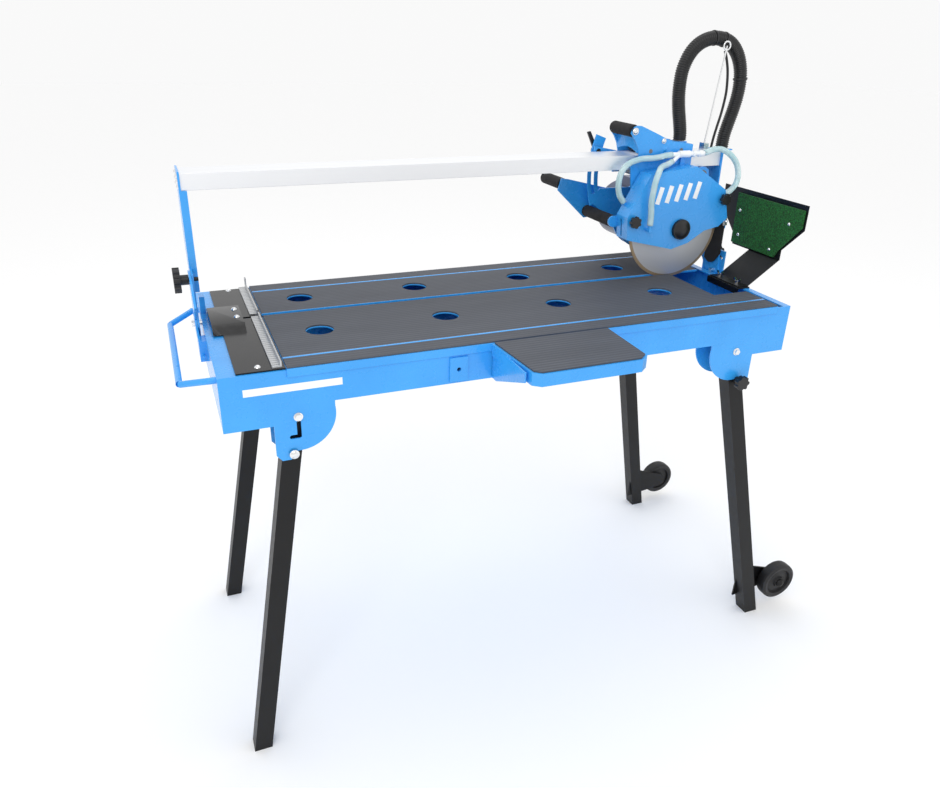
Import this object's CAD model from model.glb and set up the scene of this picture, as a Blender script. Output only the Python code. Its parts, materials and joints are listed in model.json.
# %% [markdown]
# # A bridge tile cutter, dressed over its CAD frame
# The frame holds every part at its true size and place. This notebook gives the parts
# their finishes, rounds the edges that folding and moulding leave round, and models the
# soft and fine things: hoses, tubes, foam grips, ribbed rubber and the turf splash board.

# %% Load the frame
import math

import bmesh
import bpy
from mathutils import Matrix, Vector
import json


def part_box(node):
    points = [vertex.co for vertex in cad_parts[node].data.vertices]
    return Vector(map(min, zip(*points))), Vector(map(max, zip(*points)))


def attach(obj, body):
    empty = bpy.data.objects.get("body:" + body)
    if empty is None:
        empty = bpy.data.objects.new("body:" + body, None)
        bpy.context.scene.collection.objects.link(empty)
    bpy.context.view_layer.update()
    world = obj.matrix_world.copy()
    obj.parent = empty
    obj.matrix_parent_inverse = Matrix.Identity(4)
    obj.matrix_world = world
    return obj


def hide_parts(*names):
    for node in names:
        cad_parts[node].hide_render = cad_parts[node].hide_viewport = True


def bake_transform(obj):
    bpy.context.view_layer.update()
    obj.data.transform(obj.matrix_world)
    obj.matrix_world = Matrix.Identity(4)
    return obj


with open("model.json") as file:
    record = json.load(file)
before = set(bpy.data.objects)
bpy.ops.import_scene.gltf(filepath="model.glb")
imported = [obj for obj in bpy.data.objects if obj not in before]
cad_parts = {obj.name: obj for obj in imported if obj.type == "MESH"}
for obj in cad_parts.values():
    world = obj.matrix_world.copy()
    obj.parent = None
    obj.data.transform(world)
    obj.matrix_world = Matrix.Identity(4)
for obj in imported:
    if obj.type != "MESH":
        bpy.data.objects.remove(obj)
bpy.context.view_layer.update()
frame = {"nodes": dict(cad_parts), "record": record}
TROUGH_WIDTH = 0.5
trough_low, trough_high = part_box("tray")
# to a hundredth of a millimetre, which drops the rounding of the stored mesh
SHIFT = Vector((round(trough_low.x, 5), round(trough_high.y - TROUGH_WIDTH, 5), 0.0))
print("trough's corner at", [round(v, 5) for v in SHIFT])


def place(x, y, z):
    """A point given in millimetres from the trough's front left corner, in metres."""
    return Vector((x, y, z)) / 1000 + SHIFT


# %% [markdown]
# The camera stands higher than the rail, out past the machine's left front corner, and
# looks down at the table, so the far legs show under the trough. A lens of 30 mm on a
# 36 mm sensor is a little wide, which makes the near end look larger, as it does up close.

# %% Camera
EYE = place(-59.6, -1279.9, 1399.4)
YAW, PITCH, ROLL = (math.radians(a) for a in (22.35, 25.22, 1.39))
LENS_MM = 29.89149
SENSOR_MM = 36
forward = Vector((math.sin(YAW) * math.cos(PITCH), math.cos(YAW) * math.cos(PITCH),
                  -math.sin(PITCH)))
level = Vector((math.cos(YAW), -math.sin(YAW), 0))
above = level.cross(forward)
right = level * math.cos(ROLL) + above * math.sin(ROLL)
up = above * math.cos(ROLL) - level * math.sin(ROLL)
camera_data = bpy.data.cameras.new("camera")
camera_data.sensor_width = SENSOR_MM
camera_data.lens = LENS_MM
camera = bpy.data.objects.new("camera", camera_data)
bpy.context.scene.collection.objects.link(camera)
facing = Matrix((right, up, -forward)).transposed().to_4x4()
camera.matrix_world = Matrix.Translation(EYE) @ facing
bpy.context.scene.camera = camera
print("lens", round(camera_data.lens, 2), "mm")

# %% [markdown]
# Finishes come from one helper that adds a shader node with its settings and links.
# Colours are written as the sRGB hex values that a paint chart gives, and one function
# turns them to the linear values that the renderer works in. A pattern is placed at its
# real size, and may drive the colour, the roughness and the height of the surface.

# %% Helpers for materials


def colour(code, alpha=1.0):
    """An sRGB hex colour as linear RGBA."""
    parts = [int(code[i:i + 2], 16) / 255 for i in (1, 3, 5)]
    linear = [p / 12.92 if p <= 0.04045 else ((p + 0.055) / 1.055) ** 2.4 for p in parts]
    return (*linear, alpha)


def new_finish(name, base, roughness, metallic=0.0, **sockets):
    """A material with its own Principled shader, and the values that don't vary set on it."""
    finish = bpy.data.materials.new(name)
    finish.use_nodes = True
    shader = finish.node_tree.nodes["Principled BSDF"]
    shader.inputs["Base Color"].default_value = colour(base)
    shader.inputs["Roughness"].default_value = roughness
    shader.inputs["Metallic"].default_value = metallic
    for key, value in sockets.items():
        shader.inputs[key.replace("_", " ")].default_value = value
    return finish


def add(finish, kind, links=(), out=None, **settings):
    """Adds one node: settings are its properties or inputs, links are (input, socket)."""
    node = finish.node_tree.nodes.new(kind)
    for key, value in settings.items():
        if hasattr(node, key):
            setattr(node, key, value)
        else:
            node.inputs[key.replace("_", " ")].default_value = value
    for socket, source in links:
        finish.node_tree.links.new(source, node.inputs[socket])
    if out:
        shader = finish.node_tree.nodes["Principled BSDF"]
        finish.node_tree.links.new(node.outputs[out[0]], shader.inputs[out[1]])
    return node


def drive(finish, factor, colours=None, at=(0.3, 0.7), rough=None, bump=None):
    """What a pattern changes: colour from one hex value to another as the pattern goes from
    at[0] to at[1], roughness from one value to another, or height (depth in mm, strength)."""
    if colours:
        ramp = add(finish, "ShaderNodeValToRGB", [("Fac", factor)], ("Color", "Base Color"))
        for stop, spot, code in zip(ramp.color_ramp.elements, at, colours):
            stop.position = spot
            stop.color = colour(code)
    if rough:
        add(finish, "ShaderNodeMapRange", [("Value", factor)], ("Result", "Roughness"),
            To_Min=rough[0], To_Max=rough[1])
    if bump:
        add(finish, "ShaderNodeBump", [("Height", factor)], ("Normal", "Normal"),
            Strength=bump[1], Distance=bump[0] / 1000)


def clouds(finish, size_mm, stretch=(1, 1, 1), detail=3.0, **effects):
    """Patches about size_mm across, longer along an axis where stretch is under 1, and what
    they drive. Returns their value."""
    where = add(finish, "ShaderNodeTexCoord")
    spread = add(finish, "ShaderNodeMapping", [("Vector", where.outputs["Object"])],
                 Scale=stretch)
    patches = add(finish, "ShaderNodeTexNoise", [("Vector", spread.outputs["Vector"])],
                  Scale=1000 / size_mm, Detail=detail).outputs["Fac"]
    drive(finish, patches, **effects)
    return patches


print("a blue of", [round(c, 3) for c in colour("#37A4F3")], "in linear values")

# %% [markdown]
# Stove enamel on folded sheet steel is smooth and glossy with a very faint orange peel,
# a few millimetres across. The blue is bright and clean, so its variation stays small.

# %% Enamel and powder coat


def enamel(name, low, high, rough=0.26):
    """Stove enamel: a hard gloss coat over colour, with orange peel."""
    finish = new_finish(name, high, rough, Coat_Weight=0.35, Coat_Roughness=0.08)
    clouds(finish, 90, detail=2, colours=(low, high), at=(0.25, 0.75))
    clouds(finish, 30, rough=(rough - 0.05, rough + 0.08))
    clouds(finish, 4, detail=1, bump=(0.05, 0.25))
    return finish


blue_enamel = enamel("blue_stove_enamel", "#2F9AE9", "#37A4F3")


def powder(name, low, high, rough):
    """Powder coat: fine grain, half gloss."""
    finish = new_finish(name, high, rough, Specular_IOR_Level=0.35)
    clouds(finish, 60, colours=(low, high))
    clouds(finish, 15, rough=(rough - 0.06, rough + 0.1))
    clouds(finish, 1.6, bump=(0.06, 0.4))
    return finish


black_powder = powder("black_powder_coat", "#050507", "#0B0B0D", 0.42)
black_gloss = powder("black_gloss_enamel_cover", "#0A0A0C", "#121215", 0.16)
print("made", blue_enamel.name, black_powder.name, black_gloss.name)

# %% [markdown]
# Anodised aluminium shows fine lines along its length, left by the extrusion die. The
# zinc plated and chromed steel of bolts is brighter and smoother.

# %% Metals


def metal(name, code, rough, grain_mm, stretch, depth_mm=0.02):
    """Bare or plated metal with a drawn grain."""
    finish = new_finish(name, code, rough, metallic=1.0)
    clouds(finish, grain_mm, stretch, rough=(rough - 0.07, rough + 0.1), bump=(depth_mm, 0.5))
    return finish


anodised_rail = metal("anodised_extruded_aluminium", "#F1F2F4", 0.5, 3, (0.02, 1, 1))
chrome = metal("chrome_plated_steel", "#E8E9EA", 0.14, 2, (1, 1, 1), 0.005)
zinc = metal("zinc_plated_steel", "#BFC1C4", 0.33, 2, (1, 1, 1), 0.01)
dark_steel = metal("turned_steel_shaft", "#7D8084", 0.35, 1.5, (1, 0.05, 1), 0.01)


MARKS_PER_METRE = 100
MARK_SHARE = 0.14


def graduated_rule():
    """Satin aluminium with engraved dark marks every 10 mm along its length."""
    finish = metal("etched_aluminium_rule", "#C9CBCD", 0.38, 2, (1, 0.05, 1), 0.01)
    where = add(finish, "ShaderNodeTexCoord")
    along = add(finish, "ShaderNodeSeparateXYZ", [("Vector", where.outputs["Object"])])
    count = add(finish, "ShaderNodeMath", [(0, along.outputs["Y"])], operation="MULTIPLY")
    count.inputs[1].default_value = MARKS_PER_METRE
    share = add(finish, "ShaderNodeMath", [(0, count.outputs[0])], operation="FRACT")
    mark = add(finish, "ShaderNodeMath", [(0, share.outputs[0])], operation="LESS_THAN")
    mark.inputs[1].default_value = MARK_SHARE
    drive(finish, mark.outputs[0], colours=("#C9CBCD", "#5A5C60"), at=(0.0, 1.0))
    return finish


rule_metal = graduated_rule()
print("rule marks", 1000 // MARKS_PER_METRE, "mm apart")

# %% [markdown]
# The blade is a ground steel disc. Its faces carry circular grinding marks, and the
# diamond rim is sintered bronze, so the last few millimetres look tan and gritty.

# %% Blade steel
BLADE_LOW, BLADE_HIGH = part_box("blade")
BLADE_HUB = (BLADE_LOW + BLADE_HIGH) / 2
BLADE_RADIUS = (BLADE_HIGH.z - BLADE_LOW.z) / 2
RIM_DEPTH = 0.007


def ground_blade():
    """Ground steel with rings about the hub and a tan diamond rim."""
    finish = new_finish("ground_steel_diamond_blade", "#D3D5D7", 0.4, metallic=0.85)
    where = add(finish, "ShaderNodeTexCoord")
    centred = add(finish, "ShaderNodeVectorMath", [(0, where.outputs["Object"])],
                  operation="SUBTRACT")
    centred.inputs[1].default_value = BLADE_HUB
    flat = add(finish, "ShaderNodeVectorMath", [(0, centred.outputs[0])], operation="MULTIPLY")
    flat.inputs[1].default_value = (1, 0, 1)
    radius = add(finish, "ShaderNodeVectorMath", [(0, flat.outputs[0])], operation="LENGTH")
    rings = add(finish, "ShaderNodeTexNoise", [("W", radius.outputs["Value"])],
                noise_dimensions="1D", Scale=900, Detail=4)
    rim = add(finish, "ShaderNodeMath", [(0, radius.outputs["Value"])], operation="GREATER_THAN")
    rim.inputs[1].default_value = BLADE_RADIUS - RIM_DEPTH
    drive(finish, rim.outputs[0], colours=("#D3D5D7", "#B59F82"), at=(0.0, 1.0))
    drive(finish, rings.outputs["Fac"], rough=(0.34, 0.5), bump=(0.02, 0.4))
    return finish


blade_steel = ground_blade()
print("blade", round(2000 * BLADE_RADIUS), "mm across")

# %% [markdown]
# Rubber is dull and a little dusty. The mats are extruded with fine ribs along the table.
# Real ribs of about 2 mm are too fine to show from here, so they are drawn 10 mm apart.

# %% Rubber, foam and plastics


MAT_RIB = 0.010
WAVE_LENGTH = 2 * math.pi / 20  # of Blender's wave bands at a Scale of 1, in metres


def ribbed_rubber():
    """Dark grey rubber sheet with ribs along X."""
    finish = new_finish("ribbed_rubber_sheet", "#4D5058", 0.62)
    where = add(finish, "ShaderNodeTexCoord")
    ribs = add(finish, "ShaderNodeTexWave", [("Vector", where.outputs["Object"])],
               wave_type="BANDS", bands_direction="Y", Scale=WAVE_LENGTH / MAT_RIB,
               Distortion=0.0).outputs["Fac"]
    dust = clouds(finish, 45, (0.3, 1, 1))
    worn = add(finish, "ShaderNodeMath", [(0, ribs), (1, dust)], operation="MULTIPLY")
    drive(finish, worn.outputs[0], colours=("#43474F", "#555962"), at=(0.05, 0.7))
    drive(finish, ribs, bump=(0.4, 0.4))
    return finish


def moulded(name, low, high, rough, grain_mm=1.2):
    """Moulded plastic or rubber with a fine spark-eroded grain."""
    finish = new_finish(name, high, rough)
    clouds(finish, 25, colours=(low, high))
    clouds(finish, 8, rough=(rough - 0.07, rough + 0.09))
    clouds(finish, grain_mm, bump=(0.08, 0.5))
    return finish


mat_rubber = ribbed_rubber()
knob_plastic = moulded("moulded_black_nylon", "#0D0D0F", "#19191C", 0.34)
tyre_rubber = moulded("solid_rubber_tyre", "#101012", "#1C1C1F", 0.55)
flap_rubber = moulded("black_rubber_flap", "#0E0E10", "#1B1B1E", 0.6, 2.5)
foam = moulded("closed_cell_foam_grip", "#121113", "#232124", 0.85, 2.2)
pump_plastic = moulded("black_pump_housing", "#0D0D0F", "#17171A", 0.4)
white_plastic = moulded("white_acetal_fitting", "#E9EDF0", "#F5F7F8", 0.3)
conduit_plastic = moulded("corrugated_black_polyamide", "#0B0B0C", "#161618", 0.38)
motor_paint = enamel("violet_grey_cast_aluminium_paint", "#36425E", "#414E6E", rough=0.45)


def turf():
    """Dark green turf board: short dense fibres, so matt and mottled."""
    finish = new_finish("green_fibre_turf", "#14501F", 0.95, Sheen_Weight=0.05)
    clouds(finish, 3.5, detail=6, colours=("#06330F", "#1C7A32"), at=(0.34, 0.74),
           bump=(1.5, 0.8))
    return finish


green_turf = turf()


def clear_vinyl():
    """Milky clear vinyl tube, pale cyan where it bends."""
    finish = new_finish("clear_vinyl_tube", "#CDEEF1", 0.18, IOR=1.5, Transmission_Weight=0.35)
    clouds(finish, 30, colours=("#BFE4E9", "#E2F6F7"))
    return finish


vinyl = clear_vinyl()
print(len([m for m in bpy.data.materials if m.use_nodes]), "materials so far")

# %% [markdown]
# ## Cords
# Five flexible lines come first, because they set how much room the machine needs: three
# water tubes on the saw head, the corrugated conduit that loops over the mast, and the
# thin control cable. Each is swept along its own points with a smooth curve through them.

# %% Routes
LEFT_TUBE = [(1085, 298, 1138), (1070, 298, 1137), (1054, 298, 1134), (1034, 298, 1132),
             (1014, 298, 1132), (1000, 298, 1131), (986, 298, 1128), (974, 298, 1124),
             (963, 298, 1117), (955, 298, 1108), (950, 298, 1096), (948, 298, 1084),
             (948, 298, 1070), (951, 298, 1057), (957, 297, 1045), (965.5, 296, 1034.6)]
FRONT_TUBE = [(1083.5, 292, 1123.3), (1073, 288, 1120), (1060, 281, 1118), (1047, 273, 1117),
              (1035, 264, 1115), (1024, 253, 1110), (1016, 247, 1099), (1011, 245, 1085),
              (1009, 245, 1068), (1008, 246, 1050), (1009, 247, 1034), (1011, 247, 1018),
              (1012, 247, 1002), (1012, 247, 988)]
RIGHT_TUBE = [(1178.5, 298, 1139.6), (1188, 298, 1142), (1200, 298, 1146), (1216, 298, 1147),
              (1232, 298, 1144), (1248, 297, 1136), (1262, 295, 1125), (1273, 293, 1111),
              (1279, 291, 1095), (1280, 289, 1079), (1275, 287, 1064), (1265, 286, 1053),
              (1253, 285, 1046), (1242.5, 285, 1042.5)]
HOSE = [(1140, 352, 1163.5), (1139, 352, 1180), (1134, 352, 1204), (1127, 352, 1232),
        (1122, 352, 1262), (1121, 352, 1292), (1124, 352, 1320), (1134, 352, 1346),
        (1149, 352, 1366), (1170, 352, 1380), (1195, 352, 1387), (1221, 352, 1386),
        (1246, 352, 1378), (1266, 352, 1362), (1281, 352, 1340), (1290, 352, 1314),
        (1293, 352, 1286), (1291, 352, 1257), (1285, 352, 1228), (1277, 352, 1199),
        (1270, 352, 1170), (1268, 352, 1142)]
CABLE = [(1225, 338, 1360), (1234, 340, 1344), (1242, 341, 1322), (1247, 342, 1298),
         (1249, 342, 1272), (1247, 342, 1246), (1243, 342, 1220), (1237, 342, 1194),
         (1232, 342, 1170), (1229, 342, 1150), (1228, 342, 1137)]


CURVE_STEPS = 12


def smooth_line(route, step):
    """Points a step apart on a smooth curve through the route, in metres."""
    knots = [place(*p) for p in route]
    dense = []
    for i in range(len(knots) - 1):
        a, b = knots[max(i - 1, 0)], knots[i]
        c, d = knots[i + 1], knots[min(i + 2, len(knots) - 1)]
        for k in range(CURVE_STEPS):
            t = k / CURVE_STEPS
            dense.append(0.5 * ((2 * b) + (c - a) * t + (2 * a - 5 * b + 4 * c - d) * t * t
                                + (3 * b - a - 3 * c + d) * t ** 3))
    dense.append(knots[-1])
    travel = [0.0]
    for p, q in zip(dense, dense[1:]):
        travel.append(travel[-1] + (q - p).length)
    count = max(2, round(travel[-1] / step))
    points, j = [], 0
    for i in range(count + 1):
        target = travel[-1] * i / count
        while j < len(travel) - 2 and travel[j + 1] < target:
            j += 1
        share = (target - travel[j]) / max(travel[j + 1] - travel[j], 1e-9)
        points.append(dense[j].lerp(dense[j + 1], share))
    return points, travel[-1]


def sweep(name, points, radius_at, sides, finish):
    """A closed tube through the points; radius_at(i) gives each ring's radius. The side
    that a ring starts from is carried on from the ring before, so the tube doesn't twist."""
    mesh = bpy.data.meshes.new(name)
    shape = bmesh.new()
    side = Vector((0, 1, 0))
    rings = []
    for i, p in enumerate(points):
        along = (points[min(i + 1, len(points) - 1)] - points[max(i - 1, 0)]).normalized()
        if abs(along.dot(side)) > 0.9:
            side = Vector((1, 0, 0))
        u = (side - along * side.dot(along)).normalized()
        side = u
        v = along.cross(u)
        rings.append([shape.verts.new(p + (u * math.cos(a) + v * math.sin(a)) * radius_at(i))
                      for a in (2 * math.pi * k / sides for k in range(sides))])
    for low, high in zip(rings, rings[1:]):
        for k in range(sides):
            n = (k + 1) % sides
            shape.faces.new((low[k], low[n], high[n], high[k]))
    shape.faces.new(list(reversed(rings[0])))
    shape.faces.new(rings[-1])
    bmesh.ops.recalc_face_normals(shape, faces=shape.faces)
    shape.to_mesh(mesh)
    shape.free()
    for face in mesh.polygons:
        face.use_smooth = len(face.vertices) == 4
    mesh.materials.append(finish)
    piece = bpy.data.objects.new(name, mesh)
    bpy.context.scene.collection.objects.link(piece)
    return piece


print("routes of", [len(r) for r in (LEFT_TUBE, FRONT_TUBE, RIGHT_TUBE, HOSE, CABLE)], "points")

# %% [markdown]
# The clear tubes are stiff vinyl, 14 mm across. They leave the white fitting, bend over
# and end on the guard, so they keep their shape. The cable is thinner and a little softer.

# %% Water tubes and cable
TUBE_RADIUS = 0.007
CABLE_RADIUS = 0.003
LINE_STEP = 0.004
LINE_SIDES = 20
for name, route, node, radius, finish, body, slot in (
        ("left_vinyl_tube", LEFT_TUBE, "left_water_tube", TUBE_RADIUS, vinyl, "head",
         "clear_tube"),
        ("front_vinyl_tube", FRONT_TUBE, "front_water_tube", TUBE_RADIUS, vinyl, "head",
         "clear_tube"),
        ("right_vinyl_tube", RIGHT_TUBE, "right_water_tube", TUBE_RADIUS, vinyl, "head",
         "clear_tube"),
        ("thin_control_cable", CABLE, "control_cable", CABLE_RADIUS, conduit_plastic, "bridge",
         "conduit")):
    line, length = smooth_line(route, LINE_STEP)
    tube = sweep(name, line, lambda i: radius, LINE_SIDES, finish)
    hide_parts(node)
    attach(tube, body)
    print(name, "is", round(length * 1000), "mm long")

# %% [markdown]
# The conduit is corrugated polyamide: round ribs about 5 mm apart. Sweeping a radius
# that rises and falls gives the ribs real depth, which a bump would lose at the edge.
# It joins the carriage to the bridge, so it's stretched between them as they move.

# %% Corrugated conduit
HOSE_RADIUS = 0.016
RIB_DEPTH = 0.0022
RIB_PITCH = 0.0048
RIB_PROFILE = (0.0, 0.5, 1.0, 0.5)
CONDUIT_SIDES = 24
TIE_WALL = 0.001
line, length = smooth_line(HOSE, RIB_PITCH / len(RIB_PROFILE))
conduit = sweep("corrugated_conduit", line,
                lambda i: HOSE_RADIUS - RIB_DEPTH * RIB_PROFILE[i % len(RIB_PROFILE)],
                CONDUIT_SIDES, conduit_plastic)
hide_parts("hose_loop")
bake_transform(conduit)
TIE_SHARES = (0.47, 0.52, 0.72)
for i, share in enumerate(TIE_SHARES):
    at = round(share * (len(line) - 1))
    tie = sweep(f"hose_tie_{i + 1}", line[at - 2:at + 2], lambda k: HOSE_RADIUS + TIE_WALL,
                CONDUIT_SIDES, knob_plastic)
    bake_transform(tie)
print("conduit", round(length * 1000), "mm long")

# %% [markdown]
# ## Rounded edges on the CAD parts
# Folded sheet, castings and mouldings have no knife edges. Each CAD part is copied, its
# loose triangles are merged back into whole faces, and a narrow bevel rounds its corners
# so that they catch the light. The copy then stands for the CAD part.

# %% Softened copies
WELD = 0.00001
FLAT_ANGLE, EDGE_ANGLE, SMOOTH_ANGLE = (math.radians(a) for a in (1, 30, 40))
BEVEL_SEGMENTS = 2


def softened(node, body, finish, width_mm):
    """A copy of a CAD node with merged faces and bevelled edges, in one finish."""
    source = frame["nodes"][node]
    piece = bpy.data.objects.new(node + "_finished", source.data.copy())
    bpy.context.scene.collection.objects.link(piece)
    bpy.ops.object.select_all(action="DESELECT")
    piece.select_set(True)
    bpy.context.view_layer.objects.active = piece
    bpy.ops.object.mode_set(mode="EDIT")
    bpy.ops.mesh.select_all(action="SELECT")
    bpy.ops.mesh.remove_doubles(threshold=WELD)
    bpy.ops.mesh.dissolve_limited(angle_limit=FLAT_ANGLE)
    bpy.ops.object.mode_set(mode="OBJECT")
    bevel = piece.modifiers.new("rounded", "BEVEL")
    bevel.width = width_mm / 1000
    bevel.segments = BEVEL_SEGMENTS
    bevel.limit_method = "ANGLE"
    bevel.angle_limit = EDGE_ANGLE
    bevel.use_clamp_overlap = True
    bpy.ops.object.modifier_apply(modifier=bevel.name)
    bpy.ops.object.shade_smooth_by_angle(angle=SMOOTH_ANGLE)
    # broad faces keep their own normal, so that only the bevels look round
    level = piece.modifiers.new("level", "WEIGHTED_NORMAL")
    level.keep_sharp = True
    level.weight = 100
    bpy.ops.object.modifier_apply(modifier=level.name)
    piece.data.materials.clear()
    piece.data.materials.append(finish)
    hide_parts(node)
    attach(piece, body)
    return piece


BODY_OF = {node: body for body, members in frame["record"]["behaviour"]["bodies"].items()
           for node in members}
SOFT_EDGES = {
    blue_enamel: {"tray": 0.8, "table_top": 0.6, "side_table": 0.8, "left_post": 0.8,
                  "right_post": 0.8, "tilt_bracket_left": 0.6, "tilt_bracket_right": 0.6,
                  "left_leg_brackets": 0.6, "right_leg_brackets": 0.6, "guard_cover": 0.9,
                  "head_arm": 0.6, "carriage_frame": 0.7, "rear_arm": 0.6, "handle_arm": 0.6},
    motor_paint: {"motor_housing": 1.2, "motor_end_cover": 1.2},
    black_powder: {"splash_base": 0.5, "splash_guard": 0.4},
    black_gloss: {"end_cover": 0.5},
    knob_plastic: {"tilt_knob_left": 1.0, "tilt_knob_right": 1.0, "guard_knob_left": 0.8,
                   "guard_knob_right": 0.8, "front_lock_knob": 0.9, "rear_lock_knob": 0.9,
                   "hub_cap": 1.0, "depth_lever": 0.6},
    white_plastic: {"water_fitting": 0.5},
    foam: {"top_grip": 3.0, "lower_grips": 3.0},
    anodised_rail: {"rail": 0.5},
    pump_plastic: {"water_pump": 3.0},
}
for finish, edges in SOFT_EDGES.items():
    for node, width in edges.items():
        made = softened(node, BODY_OF[node], finish, width)
        print(made.name, len(made.data.polygons), "faces")

# %% [markdown]
# The other CAD parts already have their true shape, so they only take a finish.

# %% Finishes on CAD parts
PLAIN = {
    mat_rubber: ["rubber_mats"],
    rule_metal: ["fence_rule"],
    blue_enamel: ["carry_handle"],
    black_powder: ["front_left_leg", "rear_left_leg", "front_right_leg", "rear_right_leg"],
    tyre_rubber: ["front_wheel", "rear_wheel"],
    chrome: ["table_fasteners", "leg_pivot_bolts", "tilt_pivot_bolts", "rail_end_bolts",
             "hose_mast"],
    dark_steel: ["left_roller", "right_roller", "lower_guides", "plunge_axle", "arbor"],
    blade_steel: ["blade"],
    green_turf: ["splash_board"],
    flap_rubber: ["splash_flap", "drain_plug"],
}
for finish, members in PLAIN.items():
    for node in members:
        part = frame["nodes"][node]
        part.data.materials.clear()
        part.data.materials.append(finish)
        for face in part.data.polygons:
            face.material_index = 0
print(sum(len(members) for members in PLAIN.values()), "CAD parts took a finish")

# %% [markdown]
# ## Small pieces that the CAD leaves out
# Each starts as a cube or a cylinder and is shaped in edit mode: a cube is stretched to
# its corners and its edges are bevelled, which is how a small pressing or strip looks.

# %% Small-piece helpers
PIECE_ANGLE = math.radians(35)
BOLT_SIDES, BOLT_DEPTH = 32, 0.004
# each step of the dome: how far the ring shrinks, and how far it rises in metres
DOME = ((0.85, 0.0), (0.75, 0.0016), (0.6, 0.0010), (0.4, 0.0004))


def strip(name, low_mm, high_mm, bevel_mm, finish, body, turn_deg=0.0):
    """A block between two corners, rounded, then turned about Y through its centre."""
    low_point, high_point = place(*low_mm), place(*high_mm)
    middle = (low_point + high_point) / 2
    extent = high_point - low_point
    bpy.ops.object.select_all(action="DESELECT")
    bpy.ops.mesh.primitive_cube_add(size=1)
    piece = bpy.context.active_object
    piece.name = name
    bpy.ops.object.mode_set(mode="EDIT")
    bpy.ops.mesh.select_all(action="SELECT")
    bpy.ops.transform.resize(value=extent)
    bpy.ops.mesh.bevel(offset=bevel_mm / 1000, segments=3, affect="EDGES")
    bpy.ops.object.mode_set(mode="OBJECT")
    lean = Matrix.Translation(middle) @ Matrix.Rotation(math.radians(turn_deg), 4, "Y")
    piece.data.transform(lean)
    return dressed(piece, finish, body)


def dressed(piece, finish, body):
    """Smooth shading, finish, slot and body for a new piece."""
    bpy.ops.object.shade_smooth_by_angle(angle=PIECE_ANGLE)
    piece.data.materials.append(finish)
    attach(piece, body)
    return piece


def dome_bolt(name, at_mm, radius_mm, finish, body, face_turn=90):
    """A domed bolt head, facing -Y unless turned: a disc whose front face is drawn out in
    shrinking rings."""
    bpy.ops.object.select_all(action="DESELECT")
    bpy.ops.mesh.primitive_cylinder_add(vertices=BOLT_SIDES, radius=radius_mm / 1000,
                                        depth=BOLT_DEPTH)
    piece = bpy.context.active_object
    piece.name = name
    bpy.ops.object.mode_set(mode="EDIT")
    bpy.ops.mesh.select_mode(type="FACE")
    bpy.ops.mesh.select_all(action="DESELECT")
    bpy.ops.object.mode_set(mode="OBJECT")
    for face in piece.data.polygons:
        face.select = face.normal.z > 0.9
    bpy.ops.object.mode_set(mode="EDIT")
    for shrink, rise in DOME:
        bpy.ops.mesh.extrude_region_move(TRANSFORM_OT_translate={"value": (0, 0, rise)})
        bpy.ops.transform.resize(value=(shrink, shrink, 1))
    bpy.ops.object.mode_set(mode="OBJECT")
    lean = Matrix.Translation(place(*at_mm)) @ Matrix.Rotation(math.radians(face_turn), 4, "X")
    piece.data.transform(lean)
    return dressed(piece, finish, body)


print("a bolt's dome rises", round(1000 * sum(rise for _, rise in DOME), 1), "mm")

# %% [markdown]
# The table sheet stands up in the two gaps between the mats as a narrow rounded rib, so
# the gaps read as bright blue lines. The sheet's edge is folded up behind the slot too.

# %% Ribs between the mats
RIB_X0, RIB_X1 = 119, 1202
for name, y0, y1 in (("front_table_rib", 41.6, 47.4), ("rear_table_rib", 445.6, 451.4)):
    strip(name, (RIB_X0, y0, 849.5), (RIB_X1, y1, 853.4), 0.8, blue_enamel,
          "frame")
strip("slot_rear_fold", (RIB_X0, 294, 848), (RIB_X1, 295.4, 853.3), 0.3, blue_enamel,
      "frame")
print("two ribs and a fold,", RIB_X1 - RIB_X0, "mm long")

# %% [markdown]
# Plain marks stand where a maker would put lettering: a bar on the trough and five
# slanted bars on the guard. They're thin film, a quarter of a millimetre proud.

# %% Plain marks
label_white = moulded("white_vinyl_label", "#F2F4F5", "#FAFBFC", 0.4)
strip("trough_mark", (40, -0.25, 806), (216, 0.05, 820), 0.1, label_white,
      "frame")
MARK_COUNT, MARK_PITCH, MARK_WIDTH, MARK_HEIGHT, MARK_CLIMB = 5, 26, 12, 40, 2
for i in range(MARK_COUNT):
    x, z = 1034 + MARK_PITCH * i, 1032 + MARK_CLIMB * i
    strip(f"guard_mark_{i + 1}", (x, 261.75, z), (x + MARK_WIDTH, 262.05, z + MARK_HEIGHT),
          0.1, label_white, "head", turn_deg=14)
print(MARK_COUNT, "guard marks and one on the trough")

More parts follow.
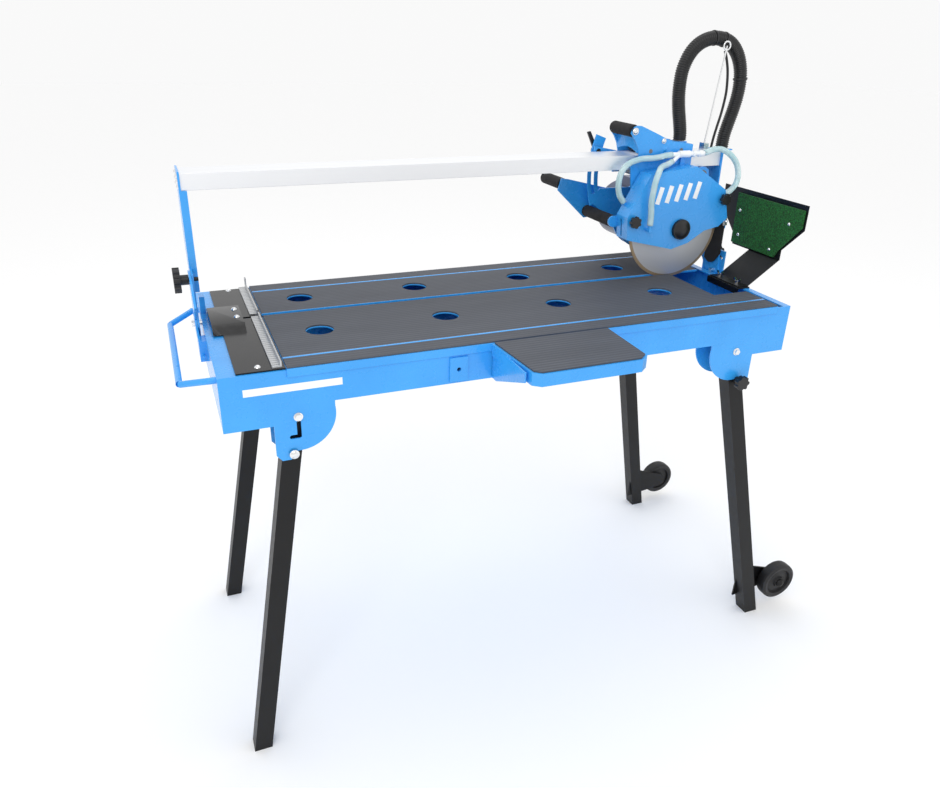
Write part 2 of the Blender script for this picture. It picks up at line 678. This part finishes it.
# %% [markdown]
# Bright dome bolts hold the carriage's cheek and lock the left legs, and a folded zinc
# strip with its bolt clamps the rubber flap to the guard. Each rides what it is screwed to.

# %% Bolts and the flap's clamp
for i, (x, z, size) in enumerate(((1067, 1168, 6), (987, 1191, 8), (1007.7, 1078, 6))):
    dome_bolt(f"cheek_bolt_{i + 1}", (x, 311.6, z), size, chrome, "carriage")
dome_bolt("front_lock_bolt_head", (119.15, -4.6, 681.1), 9, chrome, "leg_front_left")
dome_bolt("rear_lock_bolt_head", (119.15, 504.6, 681.1), 9, chrome, "leg_rear_left",
          face_turn=-90)
strip("flap_clamp", (1236, 263, 969), (1247, 266, 992), 0.8, zinc, "head", turn_deg=-8)
dome_bolt("flap_clamp_bolt", (1241.5, 261.2, 980), 4, chrome, "head")
print("three cheek bolts, two lock bolts and one clamp")

# %% [markdown]
# ## Light and floor
# A pale floor and three large soft lamps, as in a small studio. Most of the light comes
# from the white surroundings, so the shadows stay faint and the enamel keeps its colour.

# %% Floor and lights
bpy.ops.mesh.primitive_plane_add(size=40, location=(0, 0, 0))
floor = bpy.context.active_object
floor.name = "studio_floor"
floor.data.materials.append(new_finish("matt_white_floor", "#FFFFFF", 0.9))


LAMP_TARGET = Vector((0, 0, 0.7))


def lamp(name, where, size, power):
    """A square soft box that faces the middle of the machine."""
    data = bpy.data.lights.new(name, "AREA")
    data.shape = "SQUARE"
    data.size = size
    data.energy = power
    light = bpy.data.objects.new(name, data)
    light.location = where
    light.rotation_euler = (LAMP_TARGET - Vector(where)).to_track_quat("-Z", "Y").to_euler()
    bpy.context.scene.collection.objects.link(light)


lamp("key", (-1.6, -2.6, 3.2), 1.6, 30)
lamp("fill", (3.2, -2.2, 2.0), 2.5, 6)
lamp("top", (0.2, 0.9, 3.6), 2.2, 14)
world = bpy.data.worlds.new("studio")
bpy.context.scene.world = world
world.use_nodes = True
surroundings = world.node_tree.nodes["Background"]
surroundings.inputs["Color"].default_value = colour("#FFFFFF")
surroundings.inputs["Strength"].default_value = 0.95
bpy.context.scene.view_settings.view_transform = "Standard"
print("lamps", len(bpy.data.lights))
